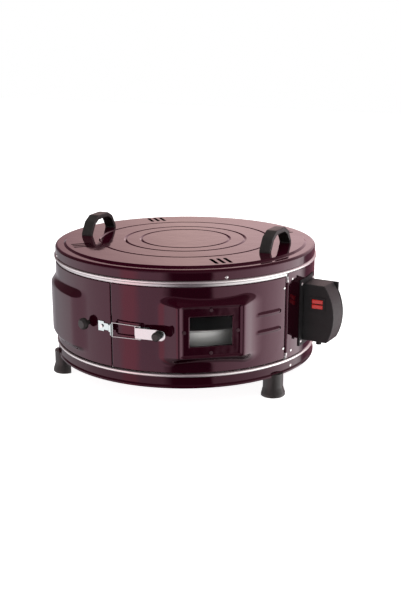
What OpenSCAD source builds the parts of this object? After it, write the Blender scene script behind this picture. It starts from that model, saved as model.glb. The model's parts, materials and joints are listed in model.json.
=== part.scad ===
// Electric drum oven: a round sheet-metal oven on three feet, with a pair of curved doors at the front.
// The drum's axis is vertical, the doors meet at the front (-Y), and the floor is z = 0.
// An azimuth is counted from the front towards +X.

/* [Drum] */
// Outside diameter of the fixed wall
drum_d = 480; // [460:1:500]
// Thickness of the enamelled sheet
sheet = 1.2; // [1:0.1:1.5]
// Underside of the base pan to the lower trim ring
base_h = 19.3; // [17:0.1:24]
// Height of the fixed wall between the two trim rings
wall_h = 152.9; // [145:0.1:165]
// Upper trim ring's lower edge to the lid's rim
lid_h = 24; // [20:0.5:27]
// Rise of the lid's panel above its rim
lid_rise = 3; // [2:0.5:5]
// Height of a trim ring
ring_h = 6.4; // [5:0.1:8]
// Thickness of a trim ring
ring_t = 2.6; // [2:0.1:3.5]
// How far the base pan's lower edge flares past the wall
base_flare = 1.6; // [1:0.1:2.5]

/* [Lid] */
// Distance of the step up to the lid's panel from the drum's side
panel_inset = 18; // [15:0.5:22]
// Radius of the outer groove
groove_outer_r = 157; // [140:1:160]
// Radius of the middle groove
groove_middle_r = 111; // [100:1:120]
// Radius of the inner groove
groove_inner_r = 82; // [70:1:90]
// Depth of a groove
groove_depth = 2; // [0.6:0.1:2.4]
// Turn of the lid's vents past the door seam
lid_turn = 4; // [0:0.5:10]
// Length of a vent slot
vent_l = 37; // [30:1:46]
// Width of a vent slot
vent_w = 6.5; // [4:0.5:7]
// Distance between vent slots
vent_pitch = 12.4; // [11:0.2:15]
// Distance of the vent slots' middle from the drum's side
vent_inset = 46; // [44:1:52]

/* [Handles] */
// Distance of a handle's middle from the drum's side
handle_inset = 60; // [54:1:68]
// Length of a handle over its legs
handle_l = 106; // [96:1:112]
// Height of a handle
handle_h = 34.5; // [30:0.5:40]
// Width of a handle's strap
handle_w = 20; // [16:1:24]
// Thickness of a handle's strap
handle_t = 8; // [6:0.5:9]

/* [Feet] */
// Height of a foot under the base pan
foot_h = 37.5; // [32:0.5:44]
// Diameter of a foot at the floor
foot_d = 43.5; // [38:0.5:48]
// How far a foot's middle stands inside the base pan's edge
foot_inset = 11; // [9:0.2:14]
// Turn of the feet past the door seam
foot_turn = 12.3; // [8:0.1:15]
// Height of the foot's lip outside the base pan
foot_lip = 4.5; // [3:0.5:8]

/* [Doors] */
// Azimuth of each hinge from the seam
hinge_az = 77.3; // [75:0.1:80]
// Gap between the two doors at the seam
seam_gap = 2; // [1.2:0.1:2.4]
// Clearance between a door and what it closes against
door_gap = 0.4; // [0.3:0.05:0.8]
// Height of frame hoop seen above the doors
head_gap = 4.5; // [3:0.5:6]
// Lap of a door over a frame hoop
door_lap = 5; // [3:0.5:7]
// Radius of a hinge pin
pin_r = 1.5; // [1.2:0.1:1.8]
// Radius of a hinge barrel
barrel_r = 2.6; // [2.4:0.1:3]
// Running clearance of a pin in its hole
pin_gap = 0.05; // [0.02:0.01:0.1]
// Height of the plain bulge on the left door
bulge_h = 9; // [6:0.5:11]

/* [Window] */
// Azimuth at the middle of the window box
window_az = 41; // [40:0.2:42]
// Width of the window box's face
window_face_w = 122; // [116:1:128]
// Height of the window box's face
window_face_h = 91; // [86:1:96]
// Stand-off of the window box's face from the door at its middle
window_face_out = 10; // [8:0.5:12]
// Width of the glass seen from the front
window_w = 72; // [60:1:76]
// Height of the glass seen from the front
window_h = 51; // [44:1:54]
// Depth of the recess round the window
window_recess = 3; // [2:0.5:4]
// Thickness of the glass
glass_t = 3; // [2.5:0.1:3.2]

/* [Latch] */
// Azimuth of the latch lever's pivot
latch_az = 12.2; // [11:0.1:13]
// Height of the latch above the middle of the doors
latch_up = -4; // [-8:0.5:4]
// Length of the lever past its pivot
lever_l = 52; // [46:1:56]
// Width of the lever
lever_w = 18; // [16:0.5:19]
// Distance of the loop's pivot from the lever's pivot
loop_throw = 6.5; // [6.2:0.1:8]
// Radius of the loop's wire
loop_wire_r = 1.2; // [1:0.05:1.3]
// Gap between the loop and the keeper's tip
loop_gap = 0.5; // [0.3:0.1:1]
// Diameter of the lever's knob
lever_knob_d = 15; // [12:0.5:16]
// Diameter of the left door's knob
door_knob_d = 20; // [16:0.5:22]
// Azimuth of the left door's knob from the seam
door_knob_az = 12.2; // [11.8:0.1:12.4]

/* [Control box] */
// Reach of the box from the wall
box_reach = 59; // [55:1:63]
// Depth of the box from front to back
box_depth = 42; // [40:1:52]
// Height of the box
box_h = 102; // [98:1:108]
// Wall of the box
box_wall = 2.5; // [2:0.1:3]
// Thickness of the flange on the drum
flange_t = 2; // [1.5:0.1:3]
// Height of the flange
flange_h = 120; // [116:1:126]
// Width of a rocker
rocker_w = 22; // [20:0.5:23]
// Height of a rocker
rocker_h = 6.6; // [6:0.2:7.4]
// Clearance round a rocker
rocker_gap = 0.4; // [0.3:0.05:0.6]

/* [Inside] */
// Radius of the heating elements' loops
element_r = 150; // [130:1:165]
// Radius of a heating element's tube
element_tube_r = 4; // [3.3:0.1:4.2]
// Radius of the baking tray's rim
tray_r = 205; // [195:1:210]
// Depth of the baking tray
tray_h = 38; // [30:1:50]
// Thickness of the baking tray
tray_t = 1; // [0.8:0.1:1.5]
// Height of the wire rack above the floor plate
rack_h = 34; // [30:1:40]
// Radius of the rack's wire
rack_wire_r = 2.5; // [2:0.1:3]

/* [Hidden] */
$fn = 96;

// Clearances and small standard sizes
fit_gap = 0.1;
hole_gap = 0.05;
part_gap = 0.4;
rivet_r = 1.6;
rivet_head_r = 3;
rivet_head_h = 1.2;
screw_r = 2;
screw_head_r = 3.6;
screw_head_h = 2.2;
cut = 1;

// Heights of the stack
z_base = foot_h;
z_lower_ring = z_base + base_h;
z_wall = z_lower_ring + ring_h;
z_upper_ring = z_wall + wall_h;
z_lid_seam = z_upper_ring + ring_h / 2;
z_base_seam = z_lower_ring + ring_h / 2;
z_rim = z_upper_ring + lid_h;
z_top = z_rim + lid_rise;
z_door_low = z_wall + cut;
z_door_high = z_upper_ring - head_gap;
z_door_mid = (z_door_low + z_door_high) / 2;

// Radii of the shell, from the frame hoops outwards
drum_r = drum_d / 2;
wall_ri = drum_r - sheet;
hoop_ro = wall_ri - fit_gap;
hoop_ri = hoop_ro - sheet;
door_ri = hoop_ro + door_gap;
door_ro = door_ri + sheet;
base_r = drum_r + base_flare;
ring_r = drum_r + fit_gap + ring_t;
hinge_r = hoop_ro + pin_r + part_gap;

// Frame hoops and plates
hoop_flange = 12;
hoop_low_top = z_door_low + door_lap;
hoop_high_bottom = z_door_high - door_lap;
plate_t = 0.8;
plate_edge = 2;
floor_up = 14;
z_floor_flange = z_base + floor_up;
z_floor_plate = z_floor_flange + sheet + fit_gap;
lid_space = 8;
z_roof_flange = z_rim - sheet - lid_space;
z_roof_plate = z_roof_flange + sheet + fit_gap;

// Hinge line
eye_h = 5;
eye_arm_t = 1.8;
eye_arm_l = 11;
hinge_edge = barrel_r + part_gap;
leaf_t = 1.1;
leaf_w = 12;
z_eye_low = hoop_low_top + part_gap;
z_eye_high = hoop_high_bottom - part_gap - eye_h;
z_barrel_low = z_eye_low + eye_h + part_gap;
z_barrel_high = z_eye_high - part_gap;
pin_end = 0.5;
leaf_rivet_x = 7;
leaf_rivet_up = 54;
post_x = 5;
post_w = 22;
post_depth = 14;
post_t = 1.5;
post_out = sqrt(pow(hoop_ri - fit_gap, 2) - pow(post_w / 2, 2));
post_turn = asin((post_x + post_w / 2) / hinge_r);
wall_rivet_inset = 12;
base_screw_up = 10;

// Lid, handles and feet
lid_corner = 5;
panel_r = drum_r - panel_inset;
groove_w = 2.8;
vent_count = 3;
vent_r = drum_r - vent_inset;
lid_screw_up = 10;
lid_step = 4;
handle_azs = [94, 278.5];
handle_r = drum_r - handle_inset;
handle_lean = 14;
handle_slope = 16;
handle_shoulder = 0.7;
handle_heel = 3;
handle_hole_x = (handle_l - handle_t - handle_heel) / 2 - 1.7;
handle_screw_l = 7;
foot_r = base_r - foot_inset;
foot_top_d = foot_d - 7.5;
foot_edge = 1.5;
foot_edge_h = 6;
foot_flare_h = 17;
foot_flat = 9.5;
foot_screw_l = 18;
foot_azs = [foot_turn + 60, foot_turn - 60, foot_turn + 180];

// Doors and their pressed forms
bulge_az = [13.6, 60];
bulge_slope_az = 8;
bulge_slope_z = 14;
bulge_low = z_door_mid - 63;
bulge_high = z_door_mid + 51;
bead_w = 8;
bead_h = 2;
bead_up = 15.5;
bead_az = [61, hinge_az - 4.5];
window_d = drum_r + window_face_out;
window_side_run = 17;
window_side_drop = 23;
window_top_run = 5.2;
window_bottom_run = 8;
window_mid = z_door_mid;
recess_w = window_face_w - 20;
recess_h = window_face_h - 6;
recess_d = window_d - window_recess;
seat_lap = 4;
seal_t = 1;
frame_t = 1.2;
frame_lap = 14;
window_screw_x = window_w / 2 + 9;
window_screw_z = window_h / 2 + 11;
window_screw_l = sheet + seal_t + glass_t + frame_t + 4;

// Latch, in the plane that touches the door at the latch's pivot
z_latch = z_door_mid + latch_up;
latch_d = door_ro;
latch_plate_t = 1.5;
latch_plate_w = 16;
latch_plate_l = 26;
latch_plate_x = -6;
latch_rivet_x = 14;
latch_rivet_zs = [-4.5, 4.5];
pivot_out = 8;
knuckle_r = 2.6;
knuckle_h = 9;
latch_pin_r = 1.5;
lever_t = 1.5;
loop_h = lever_w + 4.2;
loop_flare = 2;
loop_bend_r = loop_wire_r + 0.1;
loop_tube_r = 2.3;
loop_up = 1;
strap_up = knuckle_r + part_gap;
keeper_w = 11.5;
keeper_pad_w = 17;
keeper_pad_l = 12;
keeper_tip_w = 20;
keeper_start = 27;
keeper_bend = 5;
keeper_t = 1.2;
keeper_lift = 0.4;
keeper_out = 6;
keeper_lip = 5;
keeper_past_seam = 5;
keeper_rivet_az = 4.6;
// The loop's bar stands beside the keeper's lip, and the loop runs from there to its pivot on the lever
loop_bar = [keeper_past_seam + keeper_t + loop_gap + loop_wire_r, -door_ro - keeper_out - keeper_lip / 2];
loop_pivot = [
    (latch_d + pivot_out + loop_up) * sin(latch_az) + loop_throw * cos(latch_az),
    -(latch_d + pivot_out + loop_up) * cos(latch_az) + loop_throw * sin(latch_az)
];
loop_run = loop_bar - loop_pivot;
lever_knob_h = 12;
lever_knob_x = lever_l - 13;
door_knob_h = 18;
door_knob_neck_r = 4;

// Control box, on the right with its panel facing the front
box_low = z_door_mid - 53;
flange_r = drum_r + flange_t + fit_gap;
box_front = 0;
box_back = box_front + box_depth;
box_face_x = drum_r + box_reach;
rear_block_t = 5;
flange_front = 12.6;
flange_past = 11;
flange_back = box_back + rear_block_t + flange_past;
flange_low = box_low - 9;
flange_screw_in = 6;
flange_screw_inset = 8;
panel_t = 2;
switch_x = drum_r + 29;
switch_z = box_low + 69;
switch_w = rocker_w + 4;
switch_h = 2 * rocker_h + 8;
switch_depth = 16;
rocker_out = 1.8;
rocker_dip = 0.6;
rocker_sunk = 3;
rocker_back = 5;
rocker_tilt = 6;
rocker_bar = 1.2;
switch_rim = 1.5;
box_round = 95;
box_round_up = 45;
rear_corner = [30, 28];
rear_corner_x = drum_r + 19;
terminal_size = [22, 14, 32];
terminal_up = 24;
gland_r = 4.8;
gland_shank_r = 4;
gland_bore_r = 2.8;
gland_drop = 6;
gland_in = 3;
gland_x = drum_r + 30;
gland_y = 9;

// Heating elements, rack and tray
element_az = 95;
element_leg_step = 20;
element_turn_gap = 16;
element_turn_r = hoop_ri - element_turn_gap;
element_end_out = 24;
element_end_r = drum_r + element_end_out;
element_bend_r = element_tube_r + 0.2;
element_clear = 16;
z_lower_element = z_floor_plate + plate_t + element_clear;
z_upper_element = z_roof_plate - element_clear;
element_leg_in = 14;
z_lower_legs = box_low + element_leg_in;
z_upper_legs = box_low + box_h - element_leg_in;
bush_r = 6;
bush_out = 8;
clip_t = 1.5;
clip_azs = [element_az + 90, element_az + 180, element_az + 270];
z_rack = z_floor_plate + plate_t + rack_h;
rack_inset = 8;
rack_r = tray_r - rack_inset;
rack_bars = 7;
rack_bar_step = 48;
rack_bar_r = rack_wire_r - 0.5;
rack_legs = 4;
tray_rim_r = 2.5;
tray_draft = 8;
z_tray = z_rack + rack_wire_r + part_gap;

// The part's origin is the middle of its box on the floor
reach_front = (door_ro + door_knob_h) * cos(door_knob_az) + door_knob_d / 2 * sin(door_knob_az);
reach_back = max(ring_r, foot_r * cos(foot_turn) + foot_d / 2);
axis_x = (ring_r - box_face_x) / 2;
axis_y = (reach_front - reach_back) / 2;

// Turns a piece built at the front to an azimuth: +X runs along the wall and -Y points outwards
module at_az(az) { rotate([0, 0, az]) children(); }

// Sweeps a radius-height outline round the drum's axis between two azimuths
module sector(az0, az1) { rotate([0, 0, az0 - 90]) rotate_extrude(angle = az1 - az0) children(); }

// Radius-height outline of a plain sheet
module sheet_outline(ri, ro, z0, z1) { translate([ri, z0]) square([ro - ri, z1 - z0]); }

// Round bar pointing outwards between two radii, at a height
module radial_bar(r0, r1, r, z) { translate([0, -r0, z]) rotate([90, 0, 0]) cylinder(h = r1 - r0, r = r); }

// Upright round bar
module upright(r, z0, z1) { translate([0, 0, z0]) cylinder(h = z1 - z0, r = r); }

// Extrudes an x-z outline from y0 back to y1
module slab(y0, y1) { translate([0, y1, 0]) rotate([90, 0, 0]) linear_extrude(y1 - y0) children(); }

// Rivet with its head outside and its tail inside
module rivet(r0, r1, z) {
    radial_bar(r0 - 1.2, r1 + rivet_head_h / 2, rivet_r, z);
    radial_bar(r1, r1 + rivet_head_h, rivet_head_r, z);
    radial_bar(r0 - 1, r0 - fit_gap, rivet_r + 0.8, z);
}

// Screw with its round head outside
module radial_screw(r0, r1, z) {
    radial_bar(r0, r1 + rivet_head_h / 2, rivet_r, z);
    radial_bar(r1, r1 + rivet_head_h, rivet_head_r, z);
}

// Mirror image for the left side
module left_side() { mirror([1, 0, 0]) children(); }

// Puts a piece built round the drum's axis into the part's own frame
module place() { translate([axis_x, axis_y, 0]) children(); }

enamel = [0.30, 0.05, 0.11];
steel = [0.80, 0.80, 0.78];
black = [0.08, 0.08, 0.08];
grey = [0.30, 0.29, 0.28];

base_screw_azs = [for (side = [-1, 1], az = [hinge_az + post_turn, 139]) side * az];
lid_screw_azs = [for (k = [0:3]) lid_turn + 43.5 + 90 * k];
lid_vent_azs = [for (k = [0:3]) lid_turn + 45 + 90 * k];
grooves = [groove_inner_r, groove_middle_r, groove_outer_r];
wall_rivet_zs = [z_wall + wall_rivet_inset, z_upper_ring - wall_rivet_inset];
wall_edge_az = hinge_az + asin(hinge_edge / drum_r);
door_edge_az = hinge_az - asin(hinge_edge / door_ro);
seam_az = asin(seam_gap / 2 / door_ro);
lid_skirt_z = z_lid_seam + fit_gap;

// Pressed dish that closes the drum below, with a flared lower edge
module base_pan() {
    flare_h = 3;
    color(enamel) difference() {
        rotate_extrude() polygon([
            [0, z_base], [base_r, z_base], [base_r, z_base + flare_h], [drum_r, z_base + 2 * flare_h],
            [drum_r, z_base_seam], [wall_ri, z_base_seam], [wall_ri, z_base + 2 * flare_h],
            [base_r - sheet, z_base + flare_h], [base_r - sheet, z_base + sheet], [0, z_base + sheet]
        ]);
        for (az = foot_azs) at_az(az) translate([0, -foot_r, 0])
            upright(screw_r + hole_gap, z_base - cut, z_base + sheet + cut);
        for (az = base_screw_azs) at_az(az)
            radial_bar(wall_ri - cut, drum_r + cut, rivet_r + hole_gap, z_base + base_screw_up);
    }
}

// Half-round bright strip round the drum
module trim_ring(z) {
    color(steel) rotate_extrude() polygon([
        for (t = [-90:15:90]) [drum_r + fit_gap + ring_t * cos(t), z + ring_h / 2 * (1 + sin(t))]
    ]);
}
module lower_trim_ring() { trim_ring(z_lower_ring); }
module upper_trim_ring() { trim_ring(z_upper_ring); }

// Inner hoop that the base pan and the posts are fixed to, with a flange for the floor plate
module lower_hoop() {
    color(steel) difference() {
        rotate_extrude() {
            sheet_outline(hoop_ri, hoop_ro, z_base + sheet + fit_gap, hoop_low_top);
            translate([hoop_ri - hoop_flange, z_floor_flange]) square([hoop_flange + sheet / 2, sheet]);
        }
        for (az = base_screw_azs) at_az(az)
            radial_bar(hoop_ri - cut, hoop_ro + cut, rivet_r + hole_gap, z_base + base_screw_up);
    }
}

// Inner hoop that carries the lid, seen as a thin band above the doors
module upper_hoop() {
    color(steel) difference() {
        rotate_extrude() {
            sheet_outline(hoop_ri, hoop_ro, hoop_high_bottom, z_roof_flange + sheet);
            translate([hoop_ri - hoop_flange, z_roof_flange]) square([hoop_flange + sheet / 2, sheet]);
        }
        for (az = lid_screw_azs) at_az(az)
            radial_bar(hoop_ri - cut, hoop_ro + cut, rivet_r + hole_gap, z_upper_ring + lid_screw_up);
    }
}

// Bright plates that throw the heat back
module floor_plate() { color(steel) upright(hoop_ri - plate_edge, z_floor_plate, z_floor_plate + plate_t); }
module roof_plate() { color(steel) upright(hoop_ri - plate_edge, z_roof_plate, z_roof_plate + plate_t); }

// Upright channel behind the hinge line
module hinge_post() {
    z0 = z_floor_plate + plate_t + fit_gap;
    color(steel) at_az(hinge_az + post_turn) difference() {
        translate([-post_w / 2, -post_out, z0]) cube([post_w, post_depth, z_roof_flange - fit_gap - z0]);
        translate([post_t - post_w / 2, post_t - post_out, z0 - cut])
            cube([post_w - 2 * post_t, post_depth, z_roof_flange - z0 + 2 * cut]);
        for (z = wall_rivet_zs) radial_bar(post_out - 2 * post_t, post_out + cut, rivet_r + hole_gap, z);
    }
}
module hinge_post_right() { hinge_post(); }
module hinge_post_left() { left_side() hinge_post(); }

// The four places where a heating element's leg goes through the wall
module at_element_legs(zs = [z_lower_legs, z_upper_legs]) {
    at_az(element_az) for (x = [-0.5, 0.5] * element_leg_step, z = zs) translate([x, 0, z]) children();
}

// Fixed sheet round the sides and the back
module rear_wall() {
    color(enamel) difference() {
        sector(wall_edge_az, 360 - wall_edge_az)
            sheet_outline(wall_ri, drum_r, z_base_seam + fit_gap, z_lid_seam - fit_gap);
        for (side = [-1, 1], z = wall_rivet_zs) at_az(side * (hinge_az + post_turn))
            radial_bar(wall_ri - cut, drum_r + cut, rivet_r + hole_gap, z);
        at_flange_screws() radial_bar(wall_ri - cut, drum_r + cut, rivet_r + hole_gap, 0);
        at_element_legs() radial_bar(wall_ri - cut - post_depth, drum_r + cut, bush_r + fit_gap, 0);
    }
}
module wall_rivets() {
    color(steel) for (side = [-1, 1], z = wall_rivet_zs) at_az(side * (hinge_az + post_turn))
        rivet(post_out - post_t, drum_r, z);
}
module base_screws() {
    color(steel) for (az = base_screw_azs) at_az(az)
        radial_screw(hoop_ri - 4, drum_r, z_base + base_screw_up);
}

// Pressed lid: a skirt, a rim and a raised panel with three grooves, open at the vent slots
module lid() {
    top = concat(
        [[0, z_top]],
        [for (g = grooves) each [[g - groove_w, z_top], [g, z_top - groove_depth], [g + groove_w, z_top]]],
        [[panel_r - lid_step / 2, z_top], [panel_r + lid_step / 2, z_rim]],
        [for (t = [90:-15:0]) [drum_r - lid_corner * (1 - cos(t)), z_rim - lid_corner * (1 - sin(t))]],
        [[drum_r, lid_skirt_z]]
    );
    under = concat(
        [[wall_ri, lid_skirt_z], [wall_ri, z_rim - lid_corner], [drum_r - lid_corner, z_rim - sheet]],
        [[panel_r + lid_step / 2, z_rim - sheet], [panel_r - lid_step / 2, z_top - sheet]],
        [for (k = [2:-1:0]) let (g = grooves[k], z = z_top - sheet)
            each [[g + groove_w, z], [g, z - groove_depth], [g - groove_w, z]]],
        [[0, z_top - sheet]]
    );
    color(enamel) difference() {
        rotate_extrude() polygon(concat(top, under));
        for (az = lid_vent_azs, k = [0:vent_count - 1]) at_az(az)
            translate([(k - (vent_count - 1) / 2) * vent_pitch, -vent_r, z_top - sheet - cut]) vent_slot();
        for (az = handle_azs, x = [-1, 1] * handle_hole_x) at_az(az)
            translate([x, -handle_r, 0]) upright(screw_r + hole_gap, z_top - sheet - cut, z_top + cut);
        for (az = lid_screw_azs) at_az(az)
            radial_bar(wall_ri - cut, drum_r + cut, rivet_r + hole_gap, z_upper_ring + lid_screw_up);
    }
}
module vent_slot() {
    reach = (vent_l - vent_w) / 2;
    for (y = [-reach, reach]) translate([0, y, 0]) upright(vent_w / 2, 0, sheet + 2 * cut);
    translate([-vent_w / 2, -reach, 0]) cube([vent_w, 2 * reach, sheet + 2 * cut]);
}
module lid_screws() {
    color(steel) for (az = lid_screw_azs) at_az(az)
        radial_screw(hoop_ri - 4, drum_r, z_upper_ring + lid_screw_up);
}

// Moulded strap handle: legs that lean in, sloped shoulders and a short top, open below for the fingers
module handle_outline(half, h, lean, foot) {
    shoulder = half - lean;
    top = shoulder - handle_slope;
    z = h * handle_shoulder;
    polygon([[-half, foot], [half, foot], [shoulder, z], [top, h], [-top, h], [-shoulder, z]]);
}
module handle(az) {
    color(black) at_az(az) translate([0, -handle_r, z_top + fit_gap]) difference() {
        slab(-handle_w / 2, handle_w / 2) difference() {
            handle_outline(handle_l / 2, handle_h, handle_lean, 0);
            handle_outline(
                handle_l / 2 - handle_t - handle_heel, handle_h - handle_t, handle_lean - handle_heel, -cut
            );
        }
        for (x = [-1, 1] * handle_hole_x) translate([x, 0, 0])
            upright(screw_r + hole_gap, -cut, handle_screw_l - sheet + fit_gap);
    }
}
module handle_right() { handle(handle_azs[0]); }
module handle_left() { handle(handle_azs[1]); }
module handle_screws() {
    z_head = z_top - sheet - fit_gap;
    color(steel) for (az = handle_azs, x = [-1, 1] * handle_hole_x) at_az(az)
        translate([x, -handle_r, 0]) {
            upright(screw_r, z_head - cut / 2, z_head + handle_screw_l - sheet);
            upright(screw_head_r, z_head - screw_head_h, z_head);
        }
}

// Moulded foot, flared below and flat on its inner side, that laps up outside the base pan's edge
module foot(az) {
    wide = foot_d / 2;
    narrow = foot_top_d / 2;
    z_lip = z_base + foot_lip;
    color(black) at_az(az) difference() {
        translate([0, -foot_r, 0]) rotate_extrude() polygon([
            [0, 0], [wide - foot_edge, 0], [wide, foot_edge], [wide, foot_edge_h],
            [narrow, foot_flare_h], [narrow, z_lip], [0, z_lip]
        ]);
        translate([-foot_d, foot_flat - foot_r, -cut]) cube([2 * foot_d, foot_d, z_lip + 2 * cut]);
        upright(base_r + fit_gap, z_base - fit_gap, z_lip + cut);
        translate([0, -foot_r, 0]) upright(screw_r + hole_gap, z_base - foot_screw_l, z_base + cut);
    }
}
module foot_right() { foot(foot_azs[0]); }
module foot_left() { foot(foot_azs[1]); }
module foot_rear() { foot(foot_azs[2]); }
module foot_screws() {
    z_head = z_base + sheet + fit_gap;
    color(steel) for (az = foot_azs) at_az(az) translate([0, -foot_r, 0]) {
        upright(screw_r, z_base - foot_screw_l + cut, z_head + cut / 2);
        upright(screw_head_r, z_head, z_head + screw_head_h);
    }
}

// Two fixed eyes on the post that hold the hinge pin
module hinge_eyes() {
    x = -hinge_r * sin(post_turn);
    out = hinge_r * cos(post_turn);
    color(steel) at_az(hinge_az + post_turn) for (z = [z_eye_low, z_eye_high]) difference() {
        union() {
            translate([x, -out, 0]) upright(barrel_r, z, z + eye_h);
            translate([x - eye_arm_t / 2, -out, z]) cube([eye_arm_t, eye_arm_l, eye_h]);
            translate([x - eye_arm_t / 2, eye_arm_l - eye_arm_t - out, z])
                cube([-x - post_w / 2 - fit_gap + eye_arm_t / 2, eye_arm_t, eye_h]);
        }
        translate([x, -out, 0]) upright(pin_r + pin_gap, z - cut, z + eye_h + cut);
    }
}
module hinge_eyes_right() { hinge_eyes(); }
module hinge_eyes_left() { left_side() hinge_eyes(); }
module hinge_pin() {
    color(steel) at_az(hinge_az) translate([0, -hinge_r, 0])
        upright(pin_r, z_door_low + pin_end, z_door_high - pin_end);
}
module hinge_pin_right() { hinge_pin(); }
module hinge_pin_left() { left_side() hinge_pin(); }

// Tapered form of the window box, set in from its outside by a wall
module window_box(inset) {
    half_w = window_face_w / 2 - inset / 2;
    half_h = window_face_h / 2 - inset / 2;
    face = window_d - inset;
    foot = face - window_side_drop;
    slope = window_side_drop / window_face_out;
    intersection() {
        translate([0, 0, z_door_low]) linear_extrude(z_door_high - z_door_low) polygon([
            [-half_w, -face], [half_w, -face],
            [half_w + window_side_run, -foot], [-half_w - window_side_run, -foot]
        ]);
        rotate([90, 0, 90]) linear_extrude(2 * window_face_w, center = true) polygon([
            [-face, window_mid - half_h], [-face, window_mid + half_h],
            [-foot, window_mid + half_h + window_top_run * slope],
            [-foot, window_mid - half_h - window_bottom_run * slope]
        ]);
    }
}

// Box centred on the window, between two distances from the drum's axis
module window_block(w, h, d0, d1) {
    translate([-w / 2, -d1, window_mid - h / 2]) cube([w, d1 - d0, h]);
}
module at_window_screws() {
    at_az(window_az) {
        for (x = [-1, 1] * window_screw_x) translate([x, 0, window_mid]) children();
        for (z = [-1, 1] * window_screw_z) translate([0, 0, window_mid + z]) children();
    }
}

// Two short pressed beads between the bulge and the hinge, inside or outside the sheet
module beads(skin) {
    for (z = [-bead_up, bead_up]) sector(bead_az[0], bead_az[1]) translate([door_ri + skin, z_door_mid + z])
        polygon([
            [-cut, -bead_w / 2 - skin], [0, -bead_w / 2 - skin], [bead_h, -bead_w / 4 - skin],
            [bead_h, bead_w / 4 + skin], [0, bead_w / 2 + skin], [-cut, bead_w / 2 + skin]
        ]);
}

// Plain curved sheet of a door, from the seam to its hinge
module door_sheet() {
    sector(seam_az, door_edge_az) sheet_outline(door_ri, door_ro, z_door_low, z_door_high);
}
module at_leaf_rivets() {
    at_az(hinge_az) for (z = [-1, 1] * leaf_rivet_up)
        translate([-leaf_rivet_x, 0, z_door_mid + z]) children();
}
module leaf_rivet_holes() {
    at_leaf_rivets() radial_bar(door_ri - 4, door_ro + cut, rivet_r + hole_gap, 0);
}
module at_latch() { at_az(latch_az) translate([0, -latch_d, z_latch]) children(); }
module at_latch_rivets() {
    at_latch() for (z = latch_rivet_zs) translate([latch_rivet_x, 0, z]) children();
}

// Right door: a pressed sheet with the window box and two beads
module door_right() {
    color(enamel) difference() {
        union() {
            door_sheet();
            beads(sheet);
            difference() {
                at_az(window_az) window_box(0);
                upright(door_ri, 0, z_top);
            }
        }
        beads(0);
        difference() {
            at_az(window_az) window_box(sheet);
            at_az(window_az)
                window_block(recess_w + 2 * sheet, recess_h + 2 * sheet, recess_d - sheet, window_d);
        }
        at_az(window_az) window_block(recess_w, recess_h, recess_d, window_d + cut);
        at_az(window_az) window_block(window_w, window_h, recess_d - 2 * sheet, window_d);
        at_window_screws() radial_bar(recess_d - 2 * sheet, window_d, rivet_r + hole_gap, 0);
        leaf_rivet_holes();
        at_latch_rivets() radial_bar(-4, cut, rivet_r + hole_gap, 0);
    }
}

// Outline in plan that gives the left door's bulge its sloped ends, set in by a wall
module bulge_plan(inset) {
    inset_az = asin(inset / door_ro);
    outside = [for (t = [0.2, 0.5, 0.8]) [2 * drum_r, bulge_az[0] + t * (bulge_az[1] - bulge_az[0])]];
    near = [for (k = [-0.2, 1.2]) [door_ri + k * bulge_h, bulge_az[0] + inset_az + k * bulge_slope_az]];
    far = [for (k = [1.2, -0.2]) [door_ri + k * bulge_h, bulge_az[1] - inset_az - k * bulge_slope_az]];
    translate([0, 0, z_door_low]) linear_extrude(z_door_high - z_door_low)
        polygon([for (p = concat(near, outside, far)) p[0] * [sin(p[1]), -cos(p[1])]]);
}

// Plain pressed bulge, inside or outside the sheet
module bulge(skin) {
    base = door_ri + skin;
    intersection() {
        sector(0, hinge_az) polygon([
            [base - cut - skin / 2, bulge_low + sheet - skin], [base, bulge_low + sheet - skin],
            [base + bulge_h, bulge_low + bulge_slope_z + sheet / 2 - skin / 2],
            [base + bulge_h, bulge_high - bulge_slope_z - sheet / 2 + skin / 2],
            [base, bulge_high - sheet + skin], [base - cut - skin / 2, bulge_high - sheet + skin]
        ]);
        bulge_plan(sheet - skin);
    }
}

// Left door: a pressed sheet with the plain bulge and two beads
module door_left() {
    color(enamel) left_side() difference() {
        union() {
            door_sheet();
            beads(sheet);
            bulge(sheet);
        }
        beads(0);
        bulge(0);
        leaf_rivet_holes();
        at_az(keeper_rivet_az) radial_bar(door_ri - cut, door_ro + cut, rivet_r + hole_gap, z_latch);
        at_az(door_knob_az) radial_bar(door_ri - cut, door_ro + cut, screw_r + hole_gap, z_latch);
    }
}

// Hinge leaf rolled into a barrel round the pin, riveted behind the door
module hinge_leaf() {
    leaf_out = sqrt(pow(door_ri, 2) - pow(leaf_w, 2)) - fit_gap;
    color(enamel) at_az(hinge_az) difference() {
        union() {
            translate([0, -hinge_r, 0]) upright(barrel_r, z_barrel_low, z_barrel_high);
            translate([-leaf_w, -leaf_out, z_barrel_low])
                cube([leaf_w, leaf_t, z_barrel_high - z_barrel_low]);
        }
        translate([0, -hinge_r, 0]) upright(pin_r + pin_gap, z_barrel_low - cut, z_barrel_high + cut);
        for (z = [-1, 1] * leaf_rivet_up) translate([-leaf_rivet_x, 0, z_door_mid + z])
            radial_bar(leaf_out - 2 * leaf_t, leaf_out + cut, rivet_r + hole_gap, 0);
    }
}
module hinge_rivets() {
    leaf_in = sqrt(pow(door_ri, 2) - pow(leaf_w, 2)) - fit_gap - leaf_t;
    color(steel) at_leaf_rivets() rivet(leaf_in, door_ro, 0);
}
module hinge_leaf_right() { hinge_leaf(); }
module hinge_leaf_left() { left_side() hinge_leaf(); }
module hinge_rivets_right() { hinge_rivets(); }
module hinge_rivets_left() { left_side() hinge_rivets(); }

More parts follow.
